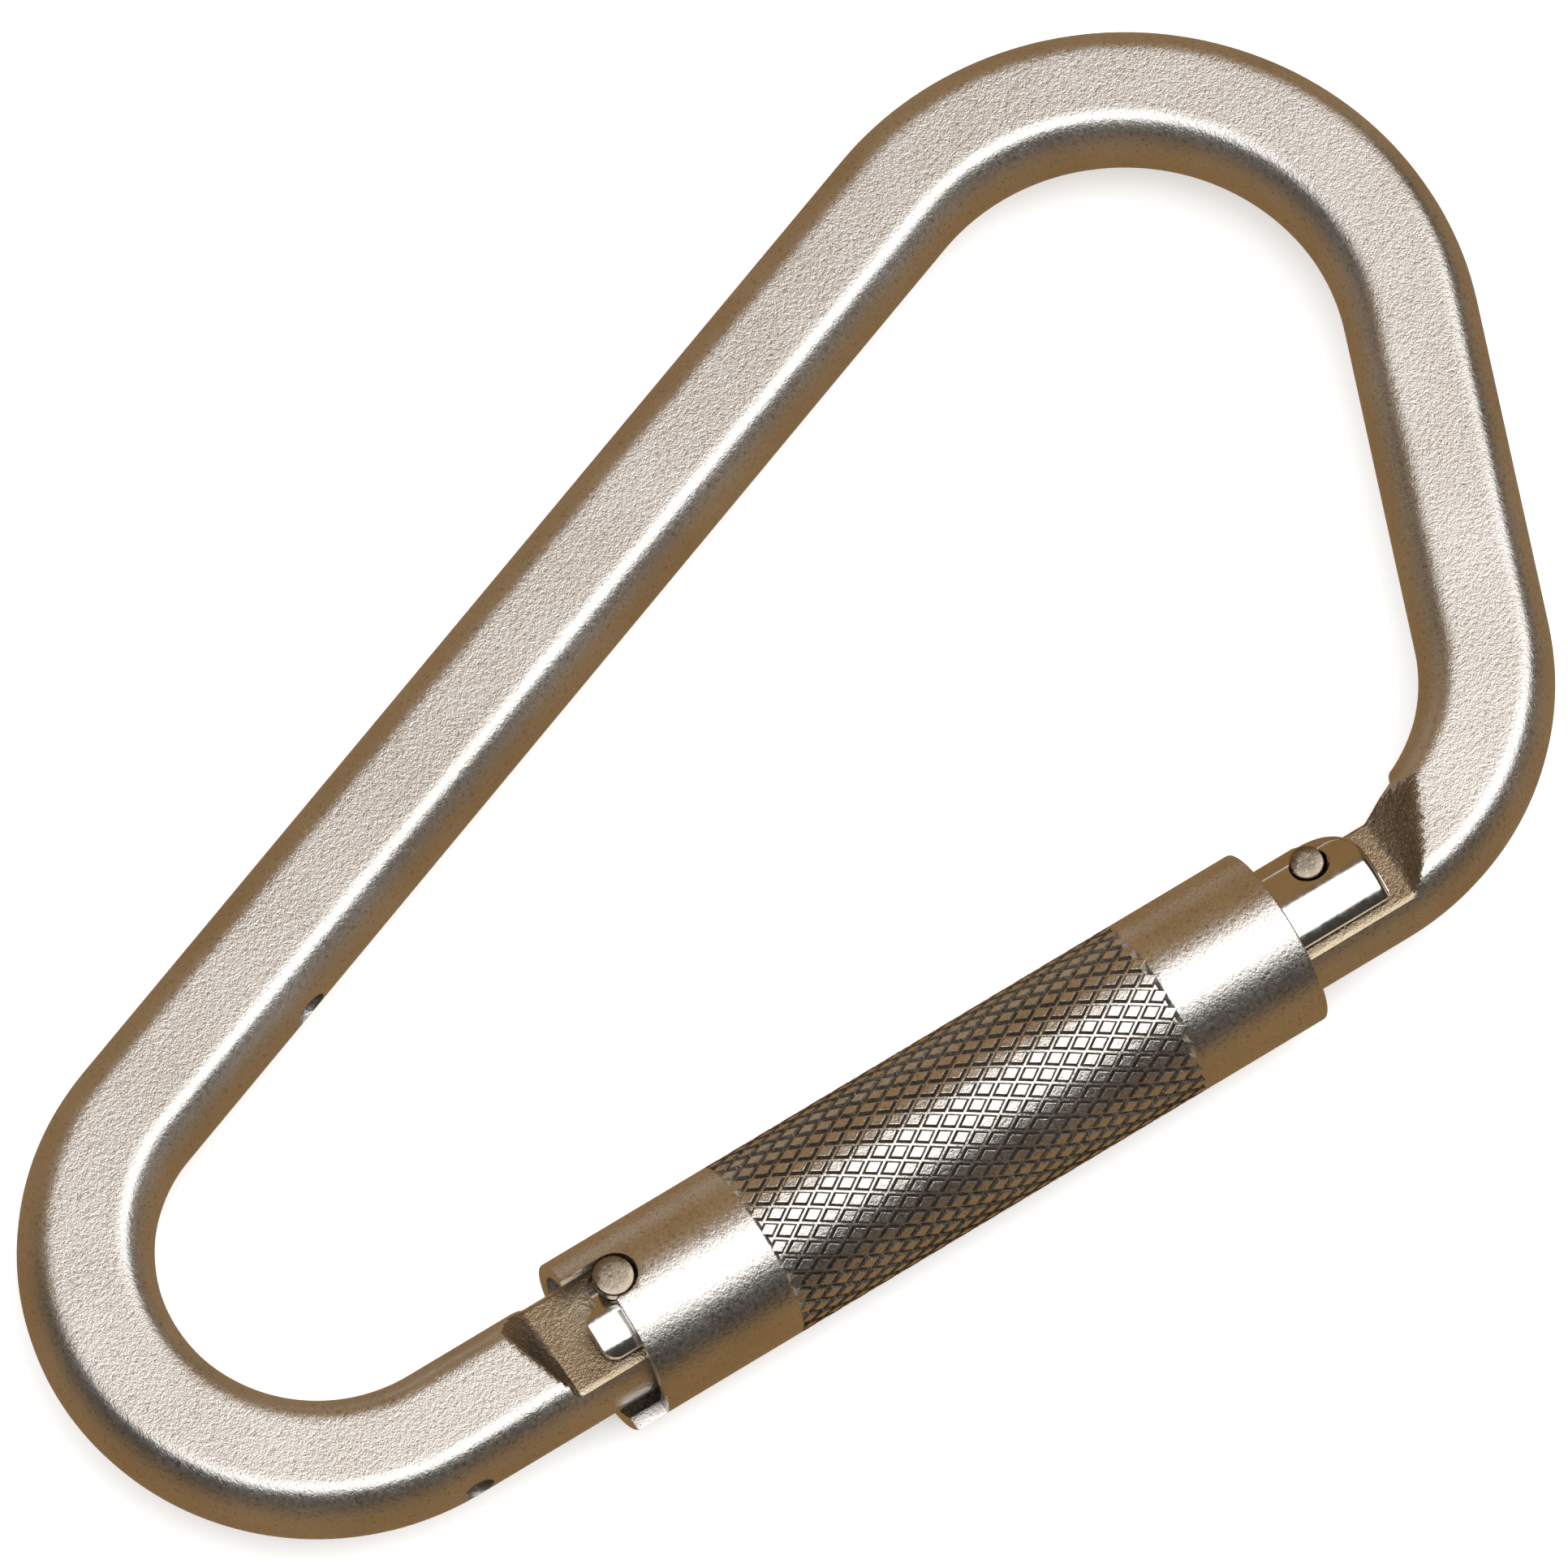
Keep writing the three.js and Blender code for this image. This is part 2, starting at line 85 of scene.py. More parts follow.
# Pins and tangs, in the gate's frame.
HINGE_X = -2.9
LATCH_X = -3.8
LATCH_S = 98.6
NOTCH_HALF = 2.0
SPRING_ROOM = 4.4  # radius of the gate spring's slot about the hinge pin
SPRING_SLOT_HALF = 2.5
TANG_OUTER = 5.35
TANG_FALL = 0.12
NOSE_TIP = 92.5
NOSE_TANG_X = -5.2
NOSE_FOOT = 107.8
HINGE_TIP = 4.3
HINGE_TANG_X = -7.2
HINGE_FOOT = -10.4

# Gate.
GATE_R = 8.1
ARM_IN = 5.65
BASE_IN = -6.1
ARM_DROP = 5.0
HEEL = -5.6
WINDOW = 4.3
NOSE_END = 105.1
NOSE_CORNER = 6.0
WAIST_R = 7.9
WAIST = (4.6, 85.6)
BRIDGE = (85.6, 91.8)

# Sleeve.
SLEEVE_R = 11.4
BORE_R = 9.7
LUG = -5.6
STEP = -1.5
STEP_BACK = -2.9
SLEEVE_END = 92.0
POCKET_R = 3.0
POCKET_END = 2.9
KNURL = (17.7, 74.4)
KNURL_STARTS = 30
KNURL_ANGLE = 33.0
KNURL_DEPTH = 0.5
SEAT = (6.2, 7.6)
SEAT_R = 8.45


# ---- Places ----

def heading(turn):
    a = math.radians(turn)
    return np.array([math.sin(a), math.cos(a)])


def outward(turn):
    a = math.radians(turn)
    return np.array([-math.cos(a), math.sin(a)])


LOW_C = np.array([LOW_R, 0.0])
TOP_C = np.array([TOP_R, SPINE])
BEND_END = LOW_C + outward(GATE_TURN) * LOW_R
_cross = outward(CROSS_TURN)
_gate = outward(GATE_TURN)
NOSE_C = np.linalg.solve(
    np.array([_cross, _gate]),
    np.array([(TOP_C + _cross * TOP_R) @ _cross - NOSE_R, BEND_END @ _gate - NOSE_R]),
)

# The record places the hinge pin; everything else is laid out from it.
swing = next(j for j in frame["record"]["behaviour"]["joints"] if j["name"] == "gate_swing")
PIN = np.array(swing["pos_m"][:2]) / MM
ALONG = -heading(GATE_TURN)
OUT = outward(GATE_TURN)
GATE_O = PIN - OUT * HINGE_X
SHIFT = GATE_O - (BEND_END + ALONG * HINGE_FROM_BEND)


def from_gate(x, s, z):
    """Gate-frame millimetres to metres in the row's frame, for arrays of any shape."""
    x, s, z = np.broadcast_arrays(np.asarray(x, float), s, z)
    px = GATE_O[0] + OUT[0] * x + ALONG[0] * s
    py = GATE_O[1] + OUT[1] * x + ALONG[1] * s
    return np.stack([px, py, z], axis=-1) * MM


# ---- Meshes ----

def smooth(obj, angle=32):
    mesh = obj.data
    mesh.polygons.foreach_set("use_smooth", [True] * len(mesh.polygons))
    mesh.set_sharp_from_angle(angle=math.radians(angle))
    mesh.update()


def new_object(name, verts, faces, material=None):
    mesh = bpy.data.meshes.new(name)
    mesh.from_pydata([tuple(v) for v in verts], [], faces)
    mesh.validate()
    obj = bpy.data.objects.new(name, mesh)
    bpy.context.scene.collection.objects.link(obj)
    clean(obj)
    if material:
        mesh.materials.append(material)
    return obj


def clean(obj):
    bm = bmesh.new()
    bm.from_mesh(obj.data)
    bmesh.ops.remove_doubles(bm, verts=bm.verts, dist=WELD)
    bmesh.ops.dissolve_degenerate(bm, edges=bm.edges, dist=WELD)
    bmesh.ops.recalc_face_normals(bm, faces=bm.faces)
    bm.to_mesh(obj.data)
    bm.free()


def tube(rings):
    """Vertices and faces of a closed skin through rings of equal count."""
    count, around = rings.shape[:2]
    verts = rings.reshape(-1, 3)
    faces = []
    for i in range(count - 1):
        this, after = i * around, (i + 1) * around
        for j in range(around):
            k = (j + 1) % around
            faces.append((this + j, this + k, after + k, after + j))
    faces += end_cap(0, around) + [f[::-1] for f in end_cap((count - 1) * around, around)]
    return verts, faces


def end_cap(first, around):
    """Strips across one ring, between points that mirror each other."""
    strips = []
    for j in range(around // 2):
        strip = [j, j + 1, around - j - 1, (around - j) % around]
        strips.append(tuple(first + k for k in dict.fromkeys(strip)))
    return strips


def lathe(profile, around, place):
    """A closed turned skin. place(a, r, h) gives metres; profile is a closed loop of (r, h)."""
    count = len(profile)
    verts = []
    faces = []
    for i in range(around):
        a = 2 * math.pi * i / around
        for r, h in profile:
            verts.append(place(a, r, h))
    for i in range(around):
        k = (i + 1) % around
        for j in range(count):
            m = (j + 1) % count
            if profile[j][0] or profile[m][0]:
                faces.append((i * count + j, i * count + m, k * count + m, k * count + j))
    return verts, faces


def along_gate(a, r, h):
    """Turned about the gate line: angle 0 faces the front, and grows to the outer side."""
    return from_gate(r * math.sin(a), h, r * math.cos(a))


def upright(x, s):
    return lambda a, r, h: from_gate(x + r * math.cos(a), s + r * math.sin(a), h)


def turned(name, profile, around, place, material):
    obj = new_object(name, *lathe(profile, around, place), material)
    smooth(obj)
    return obj


def box_tool(name, low, high):
    """A cutter box in the gate's frame."""
    corners = [
        from_gate(x, s, z)
        for x in (low[0], high[0]) for s in (low[1], high[1]) for z in (low[2], high[2])
    ]
    faces = [(0, 1, 3, 2), (4, 6, 7, 5), (0, 4, 5, 1), (2, 3, 7, 6), (0, 2, 6, 4), (1, 5, 7, 3)]
    return new_object(name, corners, faces)


def post_tool(name, x, s, radius, low, high, around=48):
    profile = [(0, low), (radius, low), (radius, high), (0, high)]
    return new_object(name, *lathe(profile, around, upright(x, s)))


def bake_modifiers(obj):
    bpy.context.view_layer.update()
    graph = bpy.context.evaluated_depsgraph_get()
    mesh = bpy.data.meshes.new_from_object(obj.evaluated_get(graph))
    obj.modifiers.clear()
    old = obj.data
    obj.data = mesh
    bpy.data.meshes.remove(old)


def cut(obj, *tools, operation="DIFFERENCE"):
    for tool in tools:
        mod = obj.modifiers.new("cut", "BOOLEAN")
        mod.operation = operation
        mod.solver = "EXACT"
        mod.object = tool
    bake_modifiers(obj)
    for tool in tools:
        bpy.data.objects.remove(tool, do_unlink=True)
    clean(obj)


def bevel(obj, width, segments=2, angle=40):
    mod = obj.modifiers.new("edges", "BEVEL")
    mod.width = width * MM
    mod.segments = segments
    mod.limit_method = "ANGLE"
    mod.angle_limit = math.radians(angle)
    mod.use_clamp_overlap = True
    mod.harden_normals = False
    bake_modifiers(obj)


def soft_min(a, b, k):
    h = np.clip(0.5 + 0.5 * (b - a) / k, 0, 1)
    return b * (1 - h) + a * h - k * h * (1 - h)


def soft_step(t):
    t = np.clip(t, 0, 1)
    return t * t * (3 - 2 * t)


# ---- Materials ----

OBJECT_OUTPUT = 3  # Texture Coordinate's Object output


class V:
    """A shader value: Python arithmetic on it adds Math nodes."""

    def __init__(self, tree, socket):
        self.tree = tree
        self.socket = socket

    def _math(self, operation, *values):
        return self.tree.add("ShaderNodeMath", {"operation": operation}, dict(enumerate(values)))

    def __add__(self, other):
        return self._math("ADD", self, other)

    def __mul__(self, other):
        return self._math("MULTIPLY", self, other)

    __radd__ = __add__
    __rmul__ = __mul__


class Finish:
    """One material's node tree."""

    def __init__(self, name):
        self.material = bpy.data.materials.new(name)
        self.material.use_nodes = True
        self.nodes = self.material.node_tree.nodes
        self.links = self.material.node_tree.links
        self.nodes.clear()
        self.shader = self.nodes.new("ShaderNodeBsdfPrincipled")
        out = self.nodes.new("ShaderNodeOutputMaterial")
        self.links.new(self.shader.outputs[0], out.inputs["Surface"])

    def add(self, kind, settings=None, values=None, output=0):
        node = self.nodes.new(kind)
        for key, value in (settings or {}).items():
            setattr(node, key, value)
        for key, value in (values or {}).items():
            if isinstance(value, V):
                self.links.new(value.socket, node.inputs[key])
            else:
                node.inputs[key].default_value = value
        return V(self, node.outputs[output])

    def noise(self, scale, detail, rough):
        where = self.add("ShaderNodeTexCoord", output=OBJECT_OUTPUT)
        return self.add("ShaderNodeTexNoise", {"noise_dimensions": "3D"}, {
            "Vector": where, "Scale": scale, "Detail": detail, "Roughness": rough,
        })

    def ramp(self, value, low, high):
        """A value spread from 0 at low to 1 at high."""
        return self.add("ShaderNodeMapRange", {"clamp": True}, {
            "Value": value, "From Min": low, "From Max": high,
        })

    def mix(self, factor, a, b):
        """Colour a where the factor is 0, b where it is 1."""
        return self.add("ShaderNodeMix", {"data_type": "RGBA"}, {
            "Factor": factor, 6: a, 7: b,
        }, output=2)

    def bump(self, height, strength, distance):
        return self.add("ShaderNodeBump", {}, {
            "Height": height, "Strength": strength, "Distance": distance,
        })

    def set(self, **values):
        for key, value in values.items():
            socket = self.shader.inputs[key.replace("_", " ")]
            if isinstance(value, V):
                self.links.new(value.socket, socket)
            else:
                socket.default_value = value
        return self.material


PLATE_LIGHT = (0.79, 0.765, 0.735, 1)
PLATE_DEEP = (0.70, 0.665, 0.62, 1)
PLATE_SPECK = (0.90, 0.88, 0.85, 1)
PIT_SHADE = 0.45  # how bright the pits are beside the deep tone


def blasted_steel(name, grain, base_rough, scale=4200, light=PLATE_LIGHT, deep=PLATE_DEEP):
    """Plated steel over a blasted surface: fine pits, sparkle and slow patches of tone."""
    f = Finish(name)
    fine = f.noise(scale, 2.0, 0.62)
    pits = f.noise(scale * 0.45, 2.0, 0.6)
    patches = f.noise(62, 3.0, 0.55)
    colour = f.mix(f.ramp(patches, 0.35, 0.68), deep, light)
    colour = f.mix(f.ramp(fine, 0.58, 0.72) * 0.4, colour, PLATE_SPECK)
    pit_colour = tuple(c * PIT_SHADE for c in deep[:3]) + (1,)
    colour = f.mix(f.ramp(pits, 0.42, 0.30) * 0.45, colour, pit_colour)
    rough = f.ramp(pits, 0.3, 0.7) * 0.10 + f.ramp(patches, 0.3, 0.7) * 0.04
    rough = rough + (base_rough - 0.07)
    height = fine * 0.8 + pits
    return f.set(
        Base_Color=colour, Metallic=1.0, Roughness=rough,
        Normal=f.bump(height, grain, 0.00012),
    )


def polished_steel(name, base_rough):
    """Bright plated sheet with faint marks."""
    f = Finish(name)
    marks = f.noise(900, 3.0, 0.6)
    patches = f.noise(90, 3.0, 0.5)
    colour = f.mix(f.ramp(patches, 0.35, 0.65), PLATE_DEEP, (0.80, 0.775, 0.745, 1))
    rough = f.ramp(marks, 0.3, 0.7) * 0.08 + (base_rough - 0.04)
    return f.set(
        Base_Color=colour, Metallic=1.0, Roughness=rough,
        Normal=f.bump(marks, 0.12, 0.00006),
    )


def wire_steel(name):
    f = Finish(name)
    marks = f.noise(1600, 2.0, 0.5)
    colour = f.mix(f.ramp(marks, 0.3, 0.7), (0.42, 0.40, 0.37, 1), (0.60, 0.58, 0.55, 1))
    return f.set(
        Base_Color=colour, Metallic=1.0, Roughness=f.ramp(marks, 0.3, 0.7) * 0.12 + 0.24,
        Normal=f.bump(marks, 0.1, 0.00005),
    )


def pale_floor():
    f = Finish("pale_floor")
    shade = f.noise(3.0, 2.0, 0.5)
    return f.set(
        Base_Color=f.mix(shade, (0.90, 0.90, 0.89, 1), (0.93, 0.93, 0.92, 1)),
        Roughness=0.9, Specular_IOR_Level=0.1,
        Emission_Color=(1, 1, 1, 1), Emission_Strength=0.25,
    )


FORGED = blasted_steel("forged_plate", 0.55, 0.33)
# Painted reflection and shade: warm darker tones on the tangs' milled faces stand in for the brown
# surroundings they mirror and the shade in their recesses.
TANG_PAINTED_SHADE = blasted_steel(
    "tang_painted_shade", 0.7, 0.32, 4200, (0.60, 0.50, 0.36, 1), (0.42, 0.33, 0.22, 1))
# Painted shade: an even darker warm tone for the scoops' slopes, which face away from the light.
SCOOP_PAINTED_SHADE = blasted_steel(
    "scoop_painted_shade", 0.7, 0.32, 4200, (0.40, 0.335, 0.255, 1), (0.28, 0.225, 0.165, 1))
KNURLED = blasted_steel("sleeve_plate", 0.45, 0.27)
# Painted shade: a dark tone for the steep sides of the knurl bosses.
KNURL_WALL_SHADE = blasted_steel(
    "knurl_walls_painted_shade", 0.4, 0.34, 4200, (0.26, 0.23, 0.19, 1), (0.18, 0.155, 0.125, 1))
CHANNEL = polished_steel("gate_plate", 0.13)
PIN_STEEL = blasted_steel(
    "pin_plate", 0.12, 0.24, 3000, (0.38, 0.32, 0.25, 1), (0.30, 0.25, 0.19, 1))
WIRE = wire_steel("spring_wire")


# ---- The frame ----

def section_angles():
    """Angles round the bar from its outer side, closer together at the flats' edges."""
    quarter = [0, 9, 18, 26, 33, 39, 44, 48, 51, 53.5, 56, 58.5, 61, 64, 68, 74, 82]
    angles = []
    for base in (0, 90, 180, 270):
        part = quarter if base in (0, 180) else [90 - a for a in quarter[::-1]][:-1]
        angles += [base + a for a in part]
    return np.radians(sorted({round(a, 3) for a in angles} | {90, 270}))


def bar_stations():
    """Centre points and headings from the hinge tang round to the nose tang."""
    points, turns = [], []

    def straight(start, end, turn, step):
        count = max(1, round(np.linalg.norm(end - start) / step))
        for i in range(count):
            points.append(start + (end - start) * i / count)
            turns.append(turn)

    def bend(centre, radius, first, last, step):
        count = round(abs(last - first) / step)
        for i in range(count):
            turn = first + (last - first) * i / count
            points.append(centre + outward(turn) * radius)
            turns.append(turn)

    local_o = GATE_O - SHIFT
    on_line = lambda s: local_o + ALONG * s
    start = GATE_TURN - 360
    straight(on_line(HINGE_TIP), on_line(-18), start, 0.45)
    straight(on_line(-18), BEND_END, start, 1.5)
    bend(LOW_C, LOW_R, start, 0, 2.0)
    straight(np.array([0.0, 0.0]), np.array([0.0, SPINE]), 0, 2.5)
    bend(TOP_C, TOP_R, 0, CROSS_TURN, 2.0)
    crossbar = [centre + _cross * radius for centre, radius in ((TOP_C, TOP_R), (NOSE_C, NOSE_R))]
    straight(*crossbar, CROSS_TURN, 2.5)
    bend(NOSE_C, NOSE_R, CROSS_TURN, 170, 2.0)
    bend(NOSE_C, NOSE_R, 170, GATE_TURN, 0.8)
    nose_start = NOSE_C + outward(GATE_TURN) * NOSE_R
    straight(nose_start, on_line(NOSE_TIP), GATE_TURN, 0.45)
    points.append(on_line(NOSE_TIP))
    turns.append(GATE_TURN)
    return np.array(points), np.array(turns)


def tang_shape(x, s, z, at_nose):
    """Machines a forged point back to the tang: thinner faces, a lower inner edge."""
    if at_nose:
        past, inner, outer = s - NOSE_FOOT, 7.8, 0.9
        edge = NOSE_TANG_X - (BAR_R + 1 + NOSE_TANG_X) * np.clip(past / 8.0, 0, 3)
    else:
        past, inner, outer = HINGE_FOOT - s, 4.6, 0.7
        edge = HINGE_TANG_X - (BAR_R + 1 + HINGE_TANG_X) * np.clip(past / 2.2, 0, 3)
    # The ramp is a milled scoop, longest on the inner side and gone at the outer side.
    across = np.clip((6.2 - x) / 12.4, 0, 1)
    length = outer + (inner - outer) * across
    face = TANG_OUTER - TANG_FALL * np.clip(6.2 - x, 0, 14)
    top = face + (FLAT - face) * np.clip(past / length, 0, 1.5) ** 1.15
    z = np.sign(z) * soft_min(np.abs(z), top, 0.22)
    crown = 0.02 * np.minimum(x - edge, 0)
    x = crown - soft_min(-x, -edge, 0.4)
    return x, s, z


def round_tip(x, s):
    """The hinge tang's end, round about the pin on its inner side."""
    inner = np.clip(HINGE_X - x, 0, HINGE_TIP)
    back = HINGE_TIP - np.sqrt(HINGE_TIP ** 2 - inner ** 2)
    return s - back * np.clip((s + 3) / (HINGE_TIP + 3), 0, 1)


def eye_hole_tools():
    """The drilled line for a captive eye pin, with lightly broken mouths."""
    mouth = BEND_END + SHIFT + OUT * BAR_R
    spine_mouth = np.array([BAR_R, 23.7]) + SHIFT
    way = spine_mouth - mouth
    reach = np.linalg.norm(way)
    way /= reach
    side = np.array([-way[1], way[0]])

    def place(a, r, h):
        p = mouth + way * h + side * (r * math.cos(a))
        return np.array([p[0], p[1], r * math.sin(a)]) * MM

    r = 1.9
    through = [(0, -3), (r + 1.6, -3), (r + 0.35, -0.1), (r, 0.5),
               (r, 16.2), (r + 1.2, 19), (0, 19)]
    blind = [(0, reach - 3), (r + 1.6, reach - 3), (r + 0.35, reach - 0.1), (r, reach + 0.5),
             (r, reach + 5), (0, reach + 6.2)]
    return [new_object("drill", *lathe(profile, 40, place)) for profile in (through, blind)]


def make_frame():
    points, turns = bar_stations()
    angles = section_angles()
    in_plane = BAR_R * np.cos(angles)
    height = BAR_R * np.sin(angles)
    height = np.sign(height) * soft_min(np.abs(height), FLAT, EDGE_SOFT)
    out_x = -np.cos(np.radians(turns))
    out_y = np.sin(np.radians(turns))
    px = points[:, 0, None] + out_x[:, None] * in_plane + SHIFT[0]
    py = points[:, 1, None] + out_y[:, None] * in_plane + SHIFT[1]
    pz = np.broadcast_to(height, px.shape).copy()
    gx = (px - GATE_O[0]) * OUT[0] + (py - GATE_O[1]) * OUT[1]
    gs = (px - GATE_O[0]) * ALONG[0] + (py - GATE_O[1]) * ALONG[1]
    row = np.arange(len(points))[:, None]
    for at_nose in (False, True):
        near = row > len(points) - 60 if at_nose else row < 50
        x, s, z = tang_shape(gx, gs, pz, at_nose)
        if not at_nose:
            s = round_tip(x, s)
        moved = from_gate(x, s, z) / MM
        px = np.where(near, moved[..., 0], px)
        py = np.where(near, moved[..., 1], py)
        pz = np.where(near, moved[..., 2], pz)
    rings = np.stack([px, py, pz], axis=-1) * MM
    obj = new_object("frame_bar", *tube(rings), FORGED)
    beyond = -14  # past the bar's inner side
    notch = arc(LATCH_X, LATCH_S, NOTCH_HALF, -90, 90, 20)
    notch = [(beyond, LATCH_S - NOTCH_HALF)] + notch + [(beyond, LATCH_S + NOTCH_HALF)]
    slot = [(beyond, -SPRING_ROOM)] + arc(HINGE_X, 0, SPRING_ROOM, -90, 0, 14)
    slot += [(HINGE_X + SPRING_ROOM, 9), (beyond, 9)]
    cut(obj, outline_tool(notch, 9))
    cut(obj, outline_tool(slot, SPRING_SLOT_HALF))
    cut(obj, post_tool("hole", HINGE_X, 0, 2.5, -9, 9))
    cut(obj, *eye_hole_tools())
    smooth(obj, 30)
    finish_tangs(obj)
    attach(obj, "frame")
    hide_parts("frame")


def finish_tangs(obj):
    """Gives the tangs' milled faces a painted reflection and shade in warm darker tones, and the
    scoops at their feet a darker painted shade.
    """
    obj.data.materials.append(TANG_PAINTED_SHADE)
    obj.data.materials.append(SCOOP_PAINTED_SHADE)
    for face in obj.data.polygons:
        where = np.array(face.center) / MM
        x = (where[:2] - GATE_O) @ OUT
        s = (where[:2] - GATE_O) @ ALONG
        at_hinge = HINGE_FOOT - 3 < s < 5
        at_nose = NOSE_TIP - 1 < s < NOSE_FOOT + 5
        low = abs(where[2]) < TANG_OUTER + 0.1 and abs(face.normal[2]) > 0.93
        if low and abs(x) < BAR_R and (at_hinge or at_nose):
            # painted reflection and shade on the tangs' low faces
            face.material_index = 1
        # The scoops look along the gate line, towards the gate.
        tilt = face.normal[0] * ALONG[0] + face.normal[1] * ALONG[1]
        at_hinge = tilt > 0.12 and HINGE_FOOT - 6 < s < HINGE_FOOT + 0.4
        at_nose = tilt < -0.12 and NOSE_FOOT - 0.4 < s < NOSE_FOOT + 9
        if (at_hinge or at_nose) and abs(x) < BAR_R - 1.5 and abs(face.normal[2]) > 0.6:
            # painted shade on the scoops' slopes
            face.material_index = 2


# ---- The gate ----

def channel_columns():
    """Matching points round the outside and inside of the channel's section."""
    drops = np.linspace(ARM_DROP + 0.4, 0, 11)[:-1]
    outer = [(d, -math.sqrt(GATE_R ** 2 - d * d)) for d in drops]
    inner = [(d, -ARM_IN) for d in drops]
    for a in np.linspace(math.radians(-90), math.radians(-270), 57):
        c, s = math.cos(a), math.sin(a)
        outer.append((GATE_R * c, GATE_R * s))
        inner.append((max(ARM_IN * c, BASE_IN), ARM_IN * s))
    outer += [(x, -z) for x, z in outer[:len(drops)][::-1]]
    inner += [(x, -z) for x, z in inner[:len(drops)][::-1]]
    return np.array(outer), np.array(inner)


def side_outline():
    """The channel seen from the front: pin eye and heel at one end, slanted nose at the other."""
    eye, corner, heel_corner, blend = 3.3, 0.9, 1.8, 0.8
    start = HINGE_X - eye - blend
    line = [(-GATE_R - 2, WINDOW), (start, WINDOW)]
    line += [(start + blend * t, WINDOW * (1 - soft_step(t))) for t in (0.2, 0.4, 0.6, 0.8)]
    line += arc(HINGE_X, 0, eye, 180, 288, 22)
    x, s = line[-1]
    for t in (0.15, 0.3, 0.45, 0.6, 0.75, 0.9, 1.0):
        line.append((x + 1.7 * t, s + (HEEL - s) * soft_step(t)))
    line += arc(ARM_DROP - heel_corner, HEEL + heel_corner, heel_corner, -90, 0, 12)
    line += arc(ARM_DROP - corner, NOSE_END - corner, corner, 0, 90, 8)
    line += arc(-GATE_R + NOSE_CORNER, NOSE_END - NOSE_CORNER, NOSE_CORNER, 90, 180, 24)
    return line + [(-GATE_R - 2, NOSE_END - NOSE_CORNER)]


def outline_tool(line, depth):
    around = len(line)
    verts = [from_gate(x, s, z) for z in (-depth, depth) for x, s in line]
    faces = [tuple(range(around))[::-1], tuple(range(around, 2 * around))]
    faces += [(j, (j + 1) % around, around + (j + 1) % around, around + j) for j in range(around)]
    return new_object("outline", verts, faces)


def end_round(x, s, fillet=1.3):
    """How far the channel's outside falls away beside the nose's outline."""
    corner_x, corner_s = NOSE_CORNER - GATE_R, NOSE_END - NOSE_CORNER
    inside = NOSE_CORNER - np.hypot(np.minimum(x - corner_x, 0), max(s - corner_s, 0))
    if s < corner_s:
        inside = np.full_like(x, fillet)
    return fillet - np.sqrt(fillet ** 2 - (fillet - np.clip(inside, 0, fillet)) ** 2)


def make_gate():
    outer, inner = channel_columns()
    rows = [HEEL - 1, 0.0, WAIST[0], WAIST[0] + 0.3]
    rows += list(np.arange(8, 84, 6)) + [WAIST[1] - 0.3, WAIST[1], 92]
    rows += list(np.arange(98, NOSE_END - 1.5, 0.5))
    rows += list(np.arange(NOSE_END - 1.5, NOSE_END, 0.1)) + [NOSE_END + 1]
    wall = np.hypot(*(outer - inner).T)
    skins = []
    for line, slim in ((outer, WAIST_R / GATE_R), (inner, 1)):
        grid = []
        for s in rows:
            k = slim if WAIST[0] + 0.15 < s < WAIST[1] - 0.15 else 1
            if line is outer:
                k = k - np.minimum(end_round(line[:, 0], s), 0.6 * wall) / GATE_R
            grid.append(from_gate(line[:, 0] * k, s, line[:, 1] * k))
        skins.append(np.array(grid))
    count, across = skins[0].shape[:2]
    verts = np.concatenate([skin.reshape(-1, 3) for skin in skins])

    def at(skin, i, j):
        return (skin * count + i) * across + j

    faces = []
    for i in range(count - 1):
        for j in range(across - 1):
            faces.append((at(0, i, j), at(0, i, j + 1), at(0, i + 1, j + 1), at(0, i + 1, j)))
            faces.append((at(1, i, j), at(1, i + 1, j), at(1, i + 1, j + 1), at(1, i, j + 1)))
        for j in (0, across - 1):
            faces.append((at(0, i, j), at(0, i + 1, j), at(1, i + 1, j), at(1, i, j)))
    for i in (0, count - 1):
        for j in range(across - 1):
            faces.append((at(0, i, j), at(1, i, j), at(1, i, j + 1), at(0, i, j + 1)))
    obj = new_object("gate_channel", verts, faces, CHANNEL)
    cut(obj, outline_tool(side_outline(), 12), operation="INTERSECT")
    between = ARM_IN - 0.06
    cut(obj, box_tool("window", (-GATE_R - 1, HEEL - 2, -between), (-5, WINDOW, between)))
    bevel(obj, 0.45, 3, 50)
    latch_bore = [(0, -12), (3.6, -12), (2.75, -7.75), (2.45, -7.3), (1.95, -5.9), (1.9, 0),
                  (1.95, 5.9), (2.45, 7.3), (2.75, 7.75), (3.6, 12), (0, 12)]
    cut(
        obj,
        new_object("countersink", *lathe(latch_bore, 48, upright(LATCH_X, LATCH_S))),
        post_tool("pin_hole", HINGE_X, 0, 2.35, -12, 12),
    )
    smooth(obj, 38)
    bridge = box_tool("gate_bridge", (BASE_IN + 0.05, BRIDGE[0], -ARM_IN + 0.02),
                      (ARM_DROP - 0.2, BRIDGE[1], ARM_IN - 0.02))
    bridge.data.materials.append(CHANNEL)
    bevel(bridge, 0.4)
    smooth(bridge)
    for part in (obj, bridge):
        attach(part, "gate")
    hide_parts("gate")


# ---- Pins ----

def arc(cx, cy, radius, first, last, count):
    """Points of a rounded corner in a turned profile."""
    return [
        (cx + radius * math.cos(math.radians(first + (last - first) * i / count)),
         cy + radius * math.sin(math.radians(first + (last - first) * i / count)))
        for i in range(count + 1)
    ]


